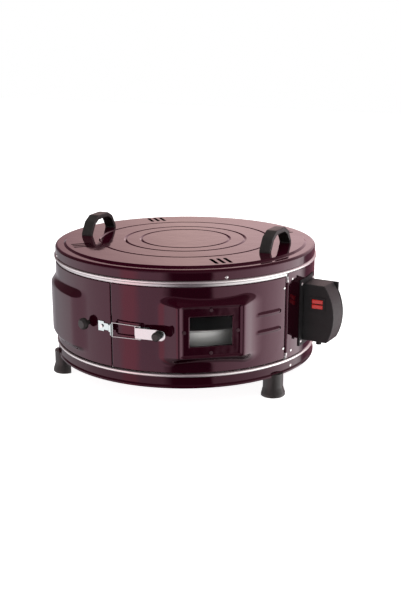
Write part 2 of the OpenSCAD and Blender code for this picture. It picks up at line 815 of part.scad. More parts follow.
// Window: a seal, the glass and a frame, clamped behind the recess by four screws
glass_w = window_w + 2 * seat_lap;
glass_h = window_h + 2 * seat_lap;
seal_d = recess_d - sheet - fit_gap - seal_t;
glass_d = seal_d - fit_gap - glass_t;
frame_d = glass_d - fit_gap - frame_t;
module window_seal() {
    color(black) at_az(window_az) difference() {
        window_block(glass_w, glass_h, seal_d, seal_d + seal_t);
        window_block(window_w, window_h, seal_d - cut, seal_d + seal_t + cut);
    }
}
module window_glass() {
    color([0.3, 0.32, 0.3, 0.5]) at_az(window_az)
        window_block(glass_w, glass_h, glass_d, glass_d + glass_t);
}
module window_frame() {
    w = window_w + 2 * frame_lap;
    h = window_h + 2 * frame_lap;
    color(steel) difference() {
        at_az(window_az) window_block(w, h, frame_d, frame_d + frame_t);
        at_az(window_az) window_block(window_w, window_h, frame_d - cut, frame_d + frame_t + cut);
        at_window_screws() radial_bar(frame_d - cut, frame_d + frame_t + cut, rivet_r + hole_gap, 0);
    }
}
module window_screws() {
    color(steel) at_window_screws() {
        radial_bar(recess_d - window_screw_l, recess_d + fit_gap, rivet_r, 0);
        radial_bar(recess_d + fit_gap, recess_d + fit_gap + rivet_head_h, rivet_head_r, 0);
        radial_bar(frame_d - fit_gap - 2, frame_d - fit_gap, rivet_head_r, 0);
    }
}

// Latch base: a riveted plate with one knuckle for the lever's pin
module latch_base() {
    color(steel) at_latch() difference() {
        union() {
            translate([latch_plate_x, -latch_plate_t - fit_gap, -latch_plate_w / 2])
                cube([latch_plate_l, latch_plate_t, latch_plate_w]);
            translate([-1, -pivot_out, -knuckle_h / 2]) cube([2, pivot_out - fit_gap, knuckle_h]);
            translate([0, -pivot_out, -knuckle_h / 2]) cylinder(h = knuckle_h, r = knuckle_r);
        }
        translate([0, -pivot_out, -knuckle_h]) cylinder(h = 2 * knuckle_h, r = latch_pin_r + hole_gap);
        for (z = latch_rivet_zs) translate([latch_rivet_x, 0, z])
            radial_bar(-cut, latch_plate_t + cut, rivet_r + hole_gap, 0);
    }
}
module latch_rivets() {
    behind = latch_d - sqrt(pow(door_ri, 2) - pow(latch_rivet_x + rivet_head_r, 2));
    color(steel) at_latch_rivets() rivet(-behind, latch_plate_t + fit_gap, 0);
}
module latch_pin() {
    color(steel) at_latch() translate([0, -pivot_out, -lever_w / 2])
        cylinder(h = lever_w, r = latch_pin_r);
}

// Lever: a steel strap on two knuckles, with a tube under it for the loop's wire
module latch_lever() {
    knuckle_z = knuckle_h / 2 + part_gap;
    knuckle_l = lever_w / 2 - knuckle_z;
    strap_out = pivot_out + strap_up;
    color(steel) at_latch() difference() {
        union() {
            translate([-1, -strap_out - lever_t, -lever_w / 2])
                cube([lever_l + 1 - lever_w / 2, lever_t, lever_w]);
            translate([lever_l - lever_w / 2, -strap_out, 0]) rotate([90, 0, 0])
                cylinder(h = lever_t, d = lever_w);
            for (z = [-lever_w / 2, knuckle_z]) translate([0, -pivot_out, z]) {
                cylinder(h = knuckle_l, r = knuckle_r);
                translate([-1, -strap_up - lever_t / 2, 0]) cube([2, strap_up + lever_t / 2, knuckle_l]);
            }
            translate([loop_throw, -pivot_out - loop_up, -lever_w / 2])
                cylinder(h = lever_w, r = loop_tube_r);
        }
        translate([0, -pivot_out, -lever_w]) cylinder(h = 2 * lever_w, r = latch_pin_r + pin_gap);
        translate([loop_throw, -pivot_out - loop_up, -lever_w])
            cylinder(h = 2 * lever_w, r = loop_wire_r + pin_gap);
        translate([lever_knob_x, -strap_out - lever_t - cut, 0]) rotate([-90, 0, 0])
            cylinder(h = lever_t + 2 * cut, r = screw_r + hole_gap);
    }
}
module lever_knob() {
    seat = pivot_out + strap_up + lever_t + fit_gap;
    color(black) at_latch() translate([lever_knob_x, -seat, 0]) rotate([90, 0, 0]) {
        rotate_extrude() polygon([
            [0, 0], [lever_knob_d / 2 - 3, 0], [lever_knob_d / 2 - 3, 3], [lever_knob_d / 2, 5],
            [lever_knob_d / 2, lever_knob_h - 2], [lever_knob_d / 2 - 2, lever_knob_h], [0, lever_knob_h]
        ]);
        translate([0, 0, -lever_t - fit_gap]) cylinder(h = lever_t + 2 * fit_gap, r = screw_r);
    }
}

// Wire loop: one bar in the lever's tube, two sides that spread, and the bar beside the keeper
module latch_loop() {
    narrow = loop_h / 2;
    wide = narrow + loop_flare / 2;
    run = norm(loop_run);
    spread = atan2(wide - narrow, run);
    side_l = norm([run, wide - narrow]);
    turn = atan2(loop_run[1], loop_run[0]);
    color(steel) translate([loop_pivot[0], loop_pivot[1], z_latch]) rotate([0, 0, turn]) {
        upright(loop_wire_r, -narrow, narrow);
        translate([run, 0, 0]) upright(loop_wire_r, -wide, wide);
        for (side = [-1, 1]) {
            translate([0, 0, side * narrow]) sphere(r = loop_bend_r);
            translate([run, 0, side * wide]) sphere(r = loop_bend_r);
            translate([0, 0, side * narrow]) rotate([0, 90 - side * spread, 0])
                cylinder(h = side_l, r = loop_wire_r);
        }
    }
}

// Keeper: a waisted plate on the left door, raised to a lip at the seam
module latch_keeper() {
    foot_y = -sqrt(pow(door_ro, 2) - pow(keeper_start, 2)) - keeper_lift;
    bend_y = -door_ro - keeper_lift;
    rise_y = -door_ro - keeper_out;
    tip = keeper_past_seam + keeper_t;
    slope = (foot_y - bend_y) / (keeper_start - keeper_bend);
    pad_y = foot_y - slope * keeper_pad_l;
    color(steel) difference() {
        translate([0, 0, z_latch]) union() {
            linear_extrude(keeper_w, center = true) polygon([
                [-keeper_start, foot_y], [-keeper_bend, bend_y], [0, rise_y], [tip, rise_y],
                [tip, rise_y - keeper_t], [-keeper_t / 2, rise_y - keeper_t],
                [-keeper_bend - keeper_t / 2, bend_y - keeper_t], [-keeper_start, foot_y - keeper_t]
            ]);
            linear_extrude(keeper_pad_w, center = true) polygon([
                [-keeper_start, foot_y], [keeper_pad_l - keeper_start, pad_y],
                [keeper_pad_l - keeper_start, pad_y - keeper_t], [-keeper_start, foot_y - keeper_t]
            ]);
            linear_extrude(keeper_tip_w, center = true) polygon([
                [keeper_past_seam, rise_y], [tip, rise_y],
                [tip, rise_y - keeper_lip], [keeper_past_seam, rise_y - keeper_lip]
            ]);
        }
        left_side() at_az(keeper_rivet_az)
            radial_bar(door_ro - cut, door_ro + keeper_out, rivet_r + hole_gap, z_latch);
    }
}
module keeper_rivet() {
    color(steel) left_side() at_az(keeper_rivet_az) rivet(door_ri, door_ro + keeper_t + 1, z_latch);
}
module door_knob() {
    half = door_knob_d / 2;
    top = door_knob_h - fit_gap;
    color(black) left_side() at_az(door_knob_az)
        translate([0, -door_ro - fit_gap, z_latch]) rotate([90, 0, 0]) {
        rotate_extrude() polygon([
            [0, 0], [door_knob_neck_r, 0], [door_knob_neck_r, 6], [half, 9], [half, door_knob_h - 3],
            [half - 3, top], [0, top]
        ]);
        translate([0, 0, -sheet - 2]) cylinder(h = sheet + 2 + fit_gap, r = screw_r);
    }
}

// Control box: a curved flange on the wall, a housing with a round outer side, and its front panel
module at_flange_screws() {
    ys = [flange_screw_in - flange_front, flange_back - flange_screw_in];
    for (y = ys, z = [flange_screw_inset, flange_h - flange_screw_inset])
        at_az(90 + asin(y / drum_r)) translate([0, 0, flange_low + z]) children();
}
module box_flange() {
    color(black) difference() {
        sector(90 - asin(flange_front / drum_r), 90 + asin(flange_back / drum_r))
            sheet_outline(drum_r + fit_gap, flange_r, flange_low, flange_low + flange_h);
        at_flange_screws() radial_bar(drum_r - cut, flange_r + cut, rivet_r + hole_gap, 0);
        at_element_legs() radial_bar(drum_r - post_depth, flange_r + cut, bush_r + fit_gap, 0);
    }
}
module box_screws() { color(steel) at_flange_screws() radial_screw(wall_ri - 3, flange_r, 0); }

// Side view of the box, set in by a wall
module box_outline(inset) {
    intersection() {
        translate([box_face_x - box_round, box_low + box_round_up]) circle(r = box_round - inset, $fn = 180);
        translate([drum_r - box_reach, box_low + inset]) square([2 * box_reach, box_h - 2 * inset]);
    }
}
module clear_of_drum() { difference() { children(); upright(flange_r + fit_gap, 0, z_top); } }
module box_housing() {
    y0 = box_front + panel_t + fit_gap;
    color(grey) clear_of_drum() difference() {
        slab(y0, box_back) box_outline(0);
        slab(y0 - cut, box_back + cut) box_outline(box_wall);
        translate([gland_x, gland_y, 0])
            upright(gland_shank_r + hole_gap, box_low - cut, box_low + box_wall + cut);
    }
}
module box_panel() {
    color(black) clear_of_drum() difference() {
        slab(box_front, box_front + panel_t) box_outline(0);
        translate([switch_x - switch_w / 2 - fit_gap, box_front - cut, switch_z - switch_h / 2 - fit_gap])
            cube([switch_w + 2 * fit_gap, panel_t + 2 * cut, switch_h + 2 * fit_gap]);
    }
}
module box_rear_block() {
    y0 = box_back + fit_gap;
    color(black) clear_of_drum() slab(y0, y0 + rear_block_t) union() {
        box_outline(0);
        translate([rear_corner_x, box_low + box_h - rear_corner[1]]) square(rear_corner);
    }
}

// Twin switch body with a rim in front of the panel and a round seat for each rocker
rocker_y = box_front + rocker_sunk;
rocker_zs = [for (side = [1, -1]) switch_z + side * (rocker_h / 2 + rocker_bar)];
module switch_body() {
    rim_w = switch_w + 2 * switch_rim;
    rim_h = switch_h + 2 * switch_rim;
    color(black) difference() {
        union() {
            translate([switch_x - switch_w / 2, box_front - switch_rim, switch_z - switch_h / 2])
                cube([switch_w, switch_depth, switch_h]);
            translate([switch_x - rim_w / 2, box_front - switch_rim - fit_gap, switch_z - rim_h / 2])
                cube([rim_w, switch_rim, rim_h]);
        }
        for (z = rocker_zs) translate([switch_x, rocker_y, 0])
            upright(rocker_w / 2 + rocker_gap, z - rocker_h / 2 - rocker_gap, z + rocker_h / 2 + rocker_gap);
    }
}
module rocker(z) {
    half = rocker_w / 2;
    face = rocker_sunk + switch_rim + rocker_out;
    color([0.75, 0.10, 0.08]) translate([switch_x, rocker_y, z]) rotate([0, 0, rocker_tilt])
        intersection() {
            translate([0, 0, -rocker_h / 2]) cylinder(h = rocker_h, r = half);
            linear_extrude(rocker_h, center = true) polygon([
                [-half, -face], [0, -face + rocker_dip], [half, -face],
                [half, rocker_back], [-half, rocker_back]
            ]);
        }
}
module rocker_upper() { rocker(rocker_zs[0]); }
module rocker_lower() { rocker(rocker_zs[1]); }

// Ceramic block on the flange where the element's ends and the mains wires meet
module terminal_block() {
    out = flange_r + fit_gap + terminal_size[1];
    color([0.85, 0.83, 0.78]) at_az(element_az)
        translate([-terminal_size[0] / 2, -out, box_low + terminal_up]) cube(terminal_size);
}
module cord_gland() {
    low = box_low - gland_drop;
    high = box_low + box_wall + gland_in;
    color(black) translate([gland_x, gland_y, 0]) difference() {
        union() {
            upright(gland_r, low, box_low - fit_gap);
            upright(gland_shank_r, low, high);
        }
        upright(gland_bore_r, low - cut, high + cut);
    }
}

// Tubular heater: an open loop whose legs turn to the wall at the level of the control box
module element(z, z_leg) {
    x = element_leg_step / 2;
    gap_az = asin(x / element_r);
    loop_y = -element_r * cos(gap_az);
    low = min(z, z_leg);
    high = max(z, z_leg);
    color([0.35, 0.34, 0.33]) {
        translate([0, 0, z]) sector(element_az + gap_az, element_az + 360 - gap_az)
            translate([element_r, 0]) rotate(150) circle(r = element_tube_r);
        at_az(element_az) for (side = [-x, x]) translate([side, 0, 0]) {
            translate([0, loop_y, z]) sphere(r = element_bend_r);
            radial_bar(-loop_y, element_turn_r, element_tube_r, z);
            translate([0, -element_turn_r, z]) sphere(r = element_bend_r);
            translate([0, -element_turn_r, 0]) upright(element_tube_r, low, high);
            translate([0, -element_turn_r, z_leg]) sphere(r = element_bend_r);
            radial_bar(element_turn_r, element_end_r, element_tube_r, z_leg);
        }
    }
}
module lower_element() { element(z_lower_element, z_lower_legs); }
module upper_element() { element(z_upper_element, z_upper_legs); }
module element_bushes() {
    color([0.9, 0.88, 0.84]) at_element_legs() difference() {
        radial_bar(wall_ri - bush_out, flange_r + bush_out, bush_r, 0);
        radial_bar(wall_ri - bush_out - cut, flange_r + bush_out + cut, element_tube_r + hole_gap, 0);
    }
}
module element_clips() {
    ring = element_tube_r + hole_gap;
    reach = element_tube_r + 3;
    z_floor = z_floor_plate + plate_t + fit_gap;
    z_roof = z_roof_plate - fit_gap;
    color(steel) difference() {
        for (az = clip_azs) at_az(az) {
            translate([-clip_t / 2, -element_r - reach, z_floor])
                cube([clip_t, 2 * reach, z_lower_element + reach - z_floor]);
            translate([-clip_t / 2, -element_r - reach, z_upper_element - reach])
                cube([clip_t, 2 * reach, z_roof - z_upper_element + reach]);
        }
        for (z = [z_lower_element, z_upper_element]) translate([0, 0, z])
            rotate_extrude() translate([element_r, 0]) circle(r = ring);
    }
}

// Wire rack on four legs, and the round tray that stands on it
module wire_rack() {
    z_feet = z_floor_plate + plate_t + part_gap;
    half = (rack_bars - 1) / 2;
    color(steel) {
        translate([0, 0, z_rack]) rotate_extrude() translate([rack_r, 0]) circle(r = rack_wire_r, $fn = 24);
        for (k = [-half:half]) let (x = k * rack_bar_step, l = sqrt(pow(rack_r, 2) - pow(x, 2)))
            translate([x, l, z_rack]) rotate([90, 0, 0]) cylinder(h = 2 * l, r = rack_bar_r);
        for (k = [0:rack_legs - 1]) at_az(45 + 360 / rack_legs * k) translate([0, -rack_r, 0])
            upright(rack_bar_r, z_feet, z_rack);
    }
}
module baking_tray() {
    foot = tray_r - tray_draft;
    z_lip = z_tray + tray_h - tray_rim_r;
    color([0.75, 0.75, 0.74]) rotate_extrude() {
        polygon([
            [0, z_tray], [foot, z_tray], [tray_r, z_lip], [tray_r - tray_t, z_lip],
            [foot - tray_t, z_tray + tray_t], [0, z_tray + tray_t]
        ]);
        translate([tray_r, z_lip]) circle(r = tray_rim_r);
    }
}

place() base_pan();
place() lower_trim_ring();
place() lower_hoop();
place() floor_plate();
place() hinge_post_right();
place() hinge_post_left();
place() rear_wall();
place() wall_rivets();
place() base_screws();
place() upper_hoop();
place() upper_trim_ring();
place() roof_plate();
place() lid();
place() lid_screws();
place() handle_right();
place() handle_left();
place() handle_screws();
place() foot_right();
place() foot_left();
place() foot_rear();
place() foot_screws();
place() hinge_eyes_right();
place() hinge_eyes_left();
place() hinge_pin_right();
place() hinge_pin_left();
place() door_right();
place() hinge_leaf_right();
place() hinge_rivets_right();
place() window_seal();
place() window_glass();
place() window_frame();
place() window_screws();
place() latch_base();
place() latch_rivets();
place() latch_pin();
place() latch_lever();
place() lever_knob();
place() latch_loop();
place() door_left();
place() hinge_leaf_left();
place() hinge_rivets_left();
place() latch_keeper();
place() keeper_rivet();
place() door_knob();
place() box_flange();
place() box_screws();
place() box_housing();
place() box_panel();
place() box_rear_block();
place() switch_body();
place() rocker_upper();
place() rocker_lower();
place() terminal_block();
place() cord_gland();
place() lower_element();
place() upper_element();
place() element_bushes();
place() element_clips();
place() wire_rack();
place() baking_tray();
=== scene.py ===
"""Looks of the electric drum oven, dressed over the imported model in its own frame, in metres.
Each section below makes or dresses one piece, with its own sizes, colours, mesh, material and ties."""
import json
import math

import bmesh
import bpy
from mathutils import Matrix, Vector

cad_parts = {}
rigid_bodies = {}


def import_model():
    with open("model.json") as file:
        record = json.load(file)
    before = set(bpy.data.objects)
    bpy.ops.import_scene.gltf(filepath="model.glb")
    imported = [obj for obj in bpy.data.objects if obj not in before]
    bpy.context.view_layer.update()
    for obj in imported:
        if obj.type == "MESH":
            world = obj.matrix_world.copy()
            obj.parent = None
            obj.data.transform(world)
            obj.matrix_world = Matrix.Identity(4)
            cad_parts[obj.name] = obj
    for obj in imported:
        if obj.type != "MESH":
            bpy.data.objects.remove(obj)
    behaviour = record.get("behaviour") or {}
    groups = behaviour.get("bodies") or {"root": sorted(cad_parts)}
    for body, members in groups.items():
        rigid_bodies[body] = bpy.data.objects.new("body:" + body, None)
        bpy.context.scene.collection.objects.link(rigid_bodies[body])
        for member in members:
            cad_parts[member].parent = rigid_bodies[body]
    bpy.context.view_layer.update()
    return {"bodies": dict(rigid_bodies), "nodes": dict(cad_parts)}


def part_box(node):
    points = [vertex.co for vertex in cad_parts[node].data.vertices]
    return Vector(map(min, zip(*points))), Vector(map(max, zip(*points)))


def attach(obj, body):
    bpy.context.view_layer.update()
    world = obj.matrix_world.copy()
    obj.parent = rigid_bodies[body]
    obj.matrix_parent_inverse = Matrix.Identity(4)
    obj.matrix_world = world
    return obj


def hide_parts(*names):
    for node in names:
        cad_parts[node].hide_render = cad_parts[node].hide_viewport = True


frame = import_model()
nodes = frame["nodes"]

# Camera, at the photograph's own place: 31.3 degrees round to the right of the doors' seam, as seen from the
# drum's axis, and tipped down by 15.7 degrees. The lens is worked out for a picture 601 pixels high.
axis = Vector((-0.02815, 0.00376, 0.0))
view_az = 31.3
view_aside = 0.941
view_down = 15.667
focal_px = 935.98
picture_px = 601
camera_data = bpy.data.cameras.new("camera")
camera_data.sensor_width = 36.0
camera_data.lens = focal_px * camera_data.sensor_width / picture_px
camera = bpy.data.objects.new("camera", camera_data)
camera.location = axis + Vector((0.8866, -1.4582, 0.6012))
camera.rotation_euler = (math.radians(90 - view_down), 0.0, math.radians(view_az - view_aside))
bpy.context.scene.collection.objects.link(camera)
bpy.context.scene.camera = camera
bpy.context.scene.view_settings.view_transform = "Standard"

# Studio: a pale floor and a white surround for the camera, under one broad light from above. Glossy rays see
# a room instead, pale at the sides and dark round the camera, which the enamel and metal mirror. Its colours
# go by bearing from the camera, for the walls and for what is above them, and are dimmed by height.
reach = 6.0
floor_corners = [(-reach, -reach, 0), (reach, -reach, 0), (reach, reach, 0), (-reach, reach, 0)]
floor_mesh = bpy.data.meshes.new("floor")
floor_mesh.from_pydata(floor_corners, [], [(0, 1, 2, 3)])
floor = bpy.data.objects.new("floor", floor_mesh)
bpy.context.scene.collection.objects.link(floor)
floor_paint = bpy.data.materials.new("floor_paint")
floor_paint.use_nodes = True
floor_shader = floor_paint.node_tree.nodes["Principled BSDF"]
floor_shader.inputs["Base Color"].default_value = (0.93, 0.93, 0.93, 1)
floor_shader.inputs["Roughness"].default_value = 0.9
floor_shader.inputs["Specular IOR Level"].default_value = 0.1
floor_shader.inputs["Emission Color"].default_value = (1, 1, 1, 1)
floor_shader.inputs["Emission Strength"].default_value = 0.92
floor_mesh.materials.append(floor_paint)
floor.visible_glossy = False
floor.visible_diffuse = False

world = bpy.data.worlds.new("studio")
bpy.context.scene.world = world
world.use_nodes = True
tree = world.node_tree
tree.nodes.clear()
make = tree.nodes.new
link = tree.links.new


def shades(stops):
    """A ramp through the given places and colours."""
    ramp = make("ShaderNodeValToRGB")
    for place, colour in stops[1:-1]:
        ramp.color_ramp.elements.new(place).color = (*colour, 1)
    ramp.color_ramp.elements[0].position = stops[0][0]
    ramp.color_ramp.elements[0].color = (*stops[0][1], 1)
    ramp.color_ramp.elements[-1].position = stops[-1][0]
    ramp.color_ramp.elements[-1].color = (*stops[-1][1], 1)
    return ramp


def shades_by_bearing(stops):
    """The same for bearings in degrees from the camera, over the whole turn."""
    return shades([(degrees / 360 + 0.5, colour) for degrees, colour in stops])


walls = shades_by_bearing([
    (-180, (0.20, 0.19, 0.20)),
    (-145, (0.16, 0.15, 0.16)),
    (-100, (0.46, 0.42, 0.44)),
    (-60, (0.50, 0.46, 0.48)),
    (-54, (0.66, 0.38, 0.41)),
    (-45, (0.66, 0.38, 0.41)),
    (-39, (0.42, 0.38, 0.41)),
    (-20, (0.40, 0.36, 0.38)),
    (-11, (0.02, 0.012, 0.018)),
    (21, (0.02, 0.012, 0.018)),
    (24.5, (0.40, 0.36, 0.37)),
    (60, (0.62, 0.60, 0.61)),
    (95, (1.0, 0.96, 0.97)),
    (116, (0.90, 0.86, 0.87)),
    (130, (0.10, 0.04, 0.06)),
    (165, (0.10, 0.04, 0.05)),
    (180, (0.20, 0.19, 0.20)),
])
above = shades_by_bearing([
    (-180, (0.41, 0.29, 0.275)),
    (-171, (0.20, 0.125, 0.135)),
    (-160, (0.05, 0.03, 0.035)),
    (-110, (0.04, 0.03, 0.03)),
    (-40, (0.10, 0.08, 0.09)),
    (60, (0.20, 0.16, 0.17)),
    (130, (0.30, 0.22, 0.24)),
    (160, (0.40, 0.28, 0.30)),
    (172, (0.46, 0.33, 0.34)),
    (180, (0.41, 0.29, 0.275)),
])
levels = shades([
    (math.sin(math.radians(degrees)) / 2 + 0.5, (grey, grey, grey)) for degrees, grey in [
        (-90, 0.15), (-45, 0.5), (-30, 1.0), (-8, 1.0), (10, 1.0), (24, 1.0), (40, 0.3), (90, 0.15),
    ]
])
coord = make("ShaderNodeTexCoord")
turn = make("ShaderNodeVectorRotate")
turn.rotation_type = "Z_AXIS"
turn.inputs["Angle"].default_value = math.radians(90 - view_az)
split = make("ShaderNodeSeparateXYZ")
bearing = make("ShaderNodeMath")
bearing.operation = "ARCTAN2"
around = make("ShaderNodeMapRange")
around.inputs["From Min"].default_value = -math.pi
around.inputs["From Max"].default_value = math.pi
height = make("ShaderNodeMapRange")
height.inputs["From Min"].default_value = -1
horizon = make("ShaderNodeMapRange")
horizon.interpolation_type = "SMOOTHSTEP"
horizon.inputs["From Min"].default_value = -0.06
horizon.inputs["From Max"].default_value = 0.08
halves = make("ShaderNodeMix")
halves.data_type = "RGBA"
pattern = make("ShaderNodeMix")
pattern.data_type = "RGBA"
pattern.blend_type = "MULTIPLY"
pattern.inputs["Factor"].default_value = 1
room = make("ShaderNodeBackground")
room.inputs["Strength"].default_value = 3.0
haze = make("ShaderNodeBackground")
haze.inputs["Color"].default_value = (1, 0.98, 0.97, 1)
haze.inputs["Strength"].default_value = 0.4
white = make("ShaderNodeBackground")
white.inputs["Color"].default_value = (1, 1, 1, 1)
ray = make("ShaderNodeLightPath")
soft = make("ShaderNodeMixShader")
seen = make("ShaderNodeMixShader")
out = make("ShaderNodeOutputWorld")
link(coord.outputs["Generated"], turn.inputs["Vector"])
link(turn.outputs["Vector"], split.inputs["Vector"])
link(split.outputs["Y"], bearing.inputs[0])
link(split.outputs["X"], bearing.inputs[1])
link(bearing.outputs["Value"], around.inputs["Value"])
link(around.outputs["Result"], walls.inputs["Fac"])
link(around.outputs["Result"], above.inputs["Fac"])
link(split.outputs["Z"], height.inputs["Value"])
link(height.outputs["Result"], levels.inputs["Fac"])
link(split.outputs["Z"], horizon.inputs["Value"])
link(horizon.outputs["Result"], halves.inputs["Factor"])
link(walls.outputs["Color"], halves.inputs["A"])
link(above.outputs["Color"], halves.inputs["B"])
link(halves.outputs["Result"], pattern.inputs["A"])
link(levels.outputs["Color"], pattern.inputs["B"])
link(pattern.outputs["Result"], room.inputs["Color"])
link(ray.outputs["Is Glossy Ray"], soft.inputs["Fac"])
link(haze.outputs["Background"], soft.inputs[1])
link(room.outputs["Background"], soft.inputs[2])
link(ray.outputs["Is Camera Ray"], seen.inputs["Fac"])
link(soft.outputs["Shader"], seen.inputs[1])
link(white.outputs["Background"], seen.inputs[2])
link(seen.outputs["Shader"], out.inputs["Surface"])

sky_data = bpy.data.lights.new("sky", "SUN")
sky_data.energy = 1.5
sky_data.angle = math.radians(70)
sky = bpy.data.objects.new("sky", sky_data)
sky.rotation_euler = (math.radians(4), math.radians(-8), 0)
sky.visible_glossy = False
bpy.context.scene.collection.objects.link(sky)

# Rear wall, lid, hinge leaves and base pan: pressed steel sheet under deep burgundy enamel. The enamel has a
# fine mottle in its colour, a faint orange-peel in the surface and a clear hard gloss on top.
enamel_dark = (0.026, 0.0008, 0.006, 1)
enamel_light = (0.036, 0.0013, 0.0085, 1)


def enamel(name, gloss):
    """Burgundy enamel whose gloss reflects more or less of the room."""
    paint = bpy.data.materials.new(name)
    paint.use_nodes = True
    links = paint.node_tree.links
    make = paint.node_tree.nodes.new
    shader = paint.node_tree.nodes["Principled BSDF"]
    place = make("ShaderNodeTexCoord")
    mottle = make("ShaderNodeTexNoise")
    mottle.inputs["Scale"].default_value = 900
    mottle.inputs["Detail"].default_value = 3
    tone = make("ShaderNodeValToRGB")
    tone.color_ramp.elements[0].position = 0.35
    tone.color_ramp.elements[0].color = enamel_dark
    tone.color_ramp.elements[1].position = 0.7
    tone.color_ramp.elements[1].color = enamel_light
    peel = make("ShaderNodeTexNoise")
    peel.inputs["Scale"].default_value = 14
    peel.inputs["Detail"].default_value = 3
    bump = make("ShaderNodeBump")
    bump.inputs["Strength"].default_value = 0.12
    bump.inputs["Distance"].default_value = 0.006
    links.new(place.outputs["Object"], mottle.inputs["Vector"])
    links.new(place.outputs["Object"], peel.inputs["Vector"])
    links.new(mottle.outputs["Fac"], tone.inputs["Fac"])
    links.new(tone.outputs["Color"], shader.inputs["Base Color"])
    links.new(peel.outputs["Fac"], bump.inputs["Height"])
    links.new(bump.outputs["Normal"], shader.inputs["Normal"])
    shader.inputs["Roughness"].default_value = 0.07
    shader.inputs["IOR"].default_value = 1.55
    shader.inputs["Specular Tint"].default_value = (1.0, 0.55, 0.68, 1)
    shader.inputs["Specular IOR Level"].default_value = gloss
    return paint


def dress(names, material):
    """Gives the carried-over nodes a material."""
    for name in names:
        nodes[name].data.materials.clear()
        nodes[name].data.materials.append(material)


dress(["rear_wall", "lid", "hinge_leaf_right", "hinge_leaf_left"], enamel("burgundy_enamel", gloss=0.5))
# Base pan: a copy of the enamel with less gloss. This is painted shade: its dimmer reflection stands in for
# the oven's shadow on the floor.
dress(["base_pan"], enamel("shaded_base_enamel", gloss=0.3))

# Right door: one pressed and enamelled sheet whose flat window box and beads run into the drum's curve with
# soft bends, and which has the window's hole. It is measured in millimetres from the drum's axis, at each
# azimuth in degrees from the seam and each height from the door's middle.
mm = 0.001
door_r = 240.3
door_mid = 137.9
door_half_h = 73.7
seam_az = 0.238
hinge_az = 76.58
sheet_t = 1.2
az_step = 0.4
up_step = 1.6

bead_start = (60.0, 62.0)
bead_end = (72.6, 74.0)
bead_lows = (-18.5, 12.5)
bead_rise = (0.0, 2.5)
bead_fall = (4.0, 9.0)
bead_h = 2.0

window_az = 41.0
box_d = 250.0
box_half_w = 54.0
box_half_h = 42.5
box_brow = 2.5
slope_h = 10.0
upper_slope_run = 6.5
lower_slope_run = 8.0
dent_aside = (48.5, 53.5)
dent_up = (40.0, 45.0)
dent_depth = 3.0
box_blend = 7.0
pane_half_h = 25.5
pane_half_w = 36.0
pane_d = 247.0
pane_az = math.degrees(math.atan(pane_half_w / pane_d))


def soft_max(a, b, blend):
    """The larger of two values, rounded where they are nearly the same."""
    k = max(blend - abs(a - b), 0.0) / blend
    return max(a, b) + k * k * blend / 4


def soft_step(x, low, high):
    """Rises smoothly from 0 at low to 1 at high."""
    t = min(max((x - low) / (high - low), 0.0), 1.0)
    return t * t * (3 - 2 * t)


def steps(points, most):
    """The given points with even steps between them, none longer than most."""
    line = [points[0]]
    for a, b in zip(points, points[1:]):
        n = max(1, math.ceil((b - a) / most))
        line += [a + (b - a) * (k + 1) / n for k in range(n)]
    return line


def bead_out(az, up):
    """Stand-off of the two short pressed beads beside the hinge."""
    along = soft_step(az, *bead_start) * (1 - soft_step(az, *bead_end))
    most = 0.0
    for low in bead_lows:
        crest = soft_step(up - low, *bead_rise) * (1 - soft_step(up - low, *bead_fall))
        most = max(most, bead_h * crest)
    return most * along


def right_door_radius(az, up):
    """Radius of the right door's outer face: the window box where it stands out, or the drum's curve."""
    turn = math.radians(az - window_az)
    r = door_r
    for _ in range(3):
        u = abs(r * math.sin(turn))
        aside = max(u - box_half_w, 0.0)
        above_box = max(up - box_half_h, 0.0) * slope_h / upper_slope_run
        below_box = max(-box_half_h - up, 0.0) * slope_h / lower_slope_run
        fall = math.hypot(aside, above_box + below_box)
        r = (box_d + box_brow - math.hypot(fall, box_brow)) / math.cos(turn)
    dent = (1 - soft_step(u, *dent_aside)) * (1 - soft_step(abs(up), *dent_up))
    return soft_max(r - dent_depth * dent, door_r + bead_out(az, up), box_blend)


def outside_pane(az, up):
    """Whether a place on the right door is beside the window's hole."""
    return abs(az - window_az) > pane_az or abs(up) > pane_half_h


def settle(piece):
    """Replaces a piece's mesh by what its modifiers make of it, and removes them."""
    graph = bpy.context.evaluated_depsgraph_get()
    plain = bpy.data.meshes.new_from_object(piece.evaluated_get(graph))
    piece.modifiers.clear()
    piece.data = plain
    plain.name = piece.name
    return plain


def pressed_sheet(name, azs, ups, radius, keep, mirror, paint):
    """A sheet through the points at each azimuth and height, without the faces that keep refuses."""
    points = []
    for az in azs:
        for up in ups:
            r = radius(az, up) * mm
            x = r * math.sin(math.radians(az)) * mirror
            y = -r * math.cos(math.radians(az))
            points.append((x + axis.x, y + axis.y, (up + door_mid) * mm))
    rows = len(ups)
    faces = []
    for i in range(len(azs) - 1):
        for j in range(rows - 1):
            if keep((azs[i] + azs[i + 1]) / 2, (ups[j] + ups[j + 1]) / 2):
                a = i * rows + j
                face = (a, a + rows, a + rows + 1, a + 1)
                faces.append(face if mirror > 0 else face[::-1])
    mesh = bpy.data.meshes.new(name)
    mesh.from_pydata(points, [], faces)
    mesh.polygons.foreach_set("use_smooth", [True] * len(faces))
    mesh.materials.append(paint)
    sheet = bpy.data.objects.new(name, mesh)
    bpy.context.scene.collection.objects.link(sheet)
    thick = sheet.modifiers.new("thickness", "SOLIDIFY")
    thick.thickness = sheet_t * mm
    thick.offset = -1
    settle(sheet)
    return sheet


door_enamel = enamel("door_enamel", gloss=0.5)
right_sheet = pressed_sheet(
    "right_door_sheet",
    steps([seam_az, window_az - pane_az, window_az + pane_az, hinge_az], az_step),
    steps([-door_half_h, -pane_half_h, pane_half_h, door_half_h], up_step),
    right_door_radius, outside_pane, 1, door_enamel,
)
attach(right_sheet, "right_door")
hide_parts("door_right")

